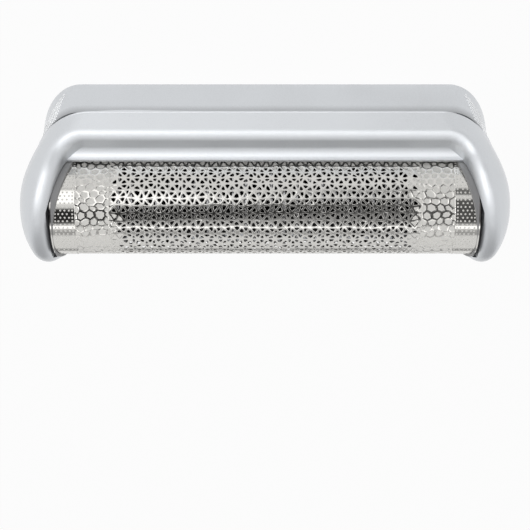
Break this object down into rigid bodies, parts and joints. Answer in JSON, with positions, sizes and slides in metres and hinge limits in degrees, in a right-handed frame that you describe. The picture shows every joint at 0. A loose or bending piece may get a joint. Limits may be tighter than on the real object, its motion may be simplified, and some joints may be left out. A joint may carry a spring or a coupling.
{
  "type": "shaver foil head",
  "caption": "Foil head of a pocket shaver: silver frame with soft end bumpers, arched perforated foil, and a bladed cutter block that oscillates beneath it.",
  "frame": {"origin": "centre of the skirt's open rim, at the bottom of the head", "axes": "+X along the foil, +Y across it, +Z out of the foil's crest"},
  "size_m": [0.056, 0.0206, 0.0158],
  "materials": {
    "silver_paint": "satin silver paint",
    "nickel_foil": "bright electroformed nickel",
    "grey_plastic": "moulded matt",
    "strip_steel": "rolled strip",
    "black_plastic": "moulded satin",
    "blade_steel": "ground edges"
  },
  "bodies": {
    "head": {"outer_frame": "silver_paint", "foil": "nickel_foil", "foil_carrier": "grey_plastic", "foil_clamp_front": "strip_steel", "foil_clamp_rear": "strip_steel"},
    "cutter": {"cutter_carrier": "black_plastic", "cutter_blade_01": "blade_steel", "cutter_blade_02": "blade_steel", "cutter_blade_03": "blade_steel", "cutter_blade_04": "blade_steel", "cutter_blade_05": "blade_steel", "cutter_blade_06": "blade_steel", "cutter_blade_07": "blade_steel", "cutter_blade_08": "blade_steel", "cutter_blade_09": "blade_steel", "cutter_blade_10": "blade_steel", "cutter_blade_11": "blade_steel", "cutter_blade_12": "blade_steel", "cutter_blade_13": "blade_steel", "cutter_blade_14": "blade_steel", "cutter_blade_15": "blade_steel", "cutter_blade_16": "blade_steel", "cutter_blade_17": "blade_steel", "cutter_blade_18": "blade_steel", "cutter_blade_19": "blade_steel", "cutter_blade_20": "blade_steel", "cutter_blade_21": "blade_steel", "cutter_blade_22": "blade_steel", "cutter_blade_23": "blade_steel", "cutter_blade_24": "blade_steel", "cutter_blade_25": "blade_steel", "cutter_blade_26": "blade_steel", "cutter_blade_27": "blade_steel", "cutter_blade_28": "blade_steel", "cutter_blade_29": "blade_steel", "cutter_blade_30": "blade_steel"}
  },
  "joints": [
    {"name": "cutter_slide", "type": "slide", "parent": "head", "child": "cutter", "axis": [1, 0, 0], "range_m": [-0.0012, 0.0012]}
  ]
}
